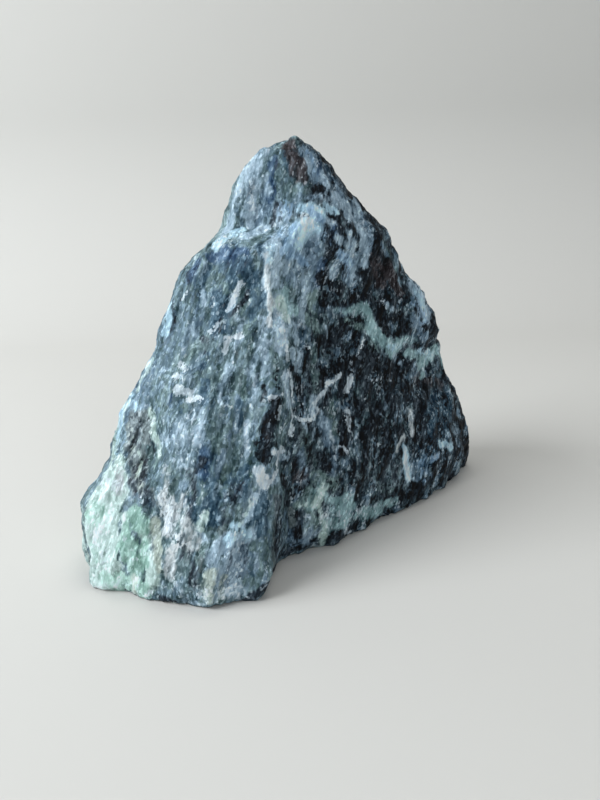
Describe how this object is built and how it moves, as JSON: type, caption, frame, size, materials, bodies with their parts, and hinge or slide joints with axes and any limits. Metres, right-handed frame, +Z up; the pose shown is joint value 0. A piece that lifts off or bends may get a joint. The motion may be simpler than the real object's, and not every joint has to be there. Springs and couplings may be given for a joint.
{
  "type": "raw soapstone block",
  "caption": "Rough unworked lump of green-grey soapstone for carving: a leaning peak with a rounded crown, two broad faces, a lobed foot and a flat underside.",
  "frame": {"origin": "middle of the footprint box, on the underside where the stone stands", "axes": "+X to the right along the stone's longest side, +Y from the front to the back, +Z up"},
  "size_m": [0.2192, 0.1665, 0.1996],
  "materials": {
    "stone": "raw broken soapstone, grey-green with pale talc flecks, waxy to satin"
  },
  "bodies": {
    "root": {"soapstone_block": "stone"}
  },
  "joints": []
}
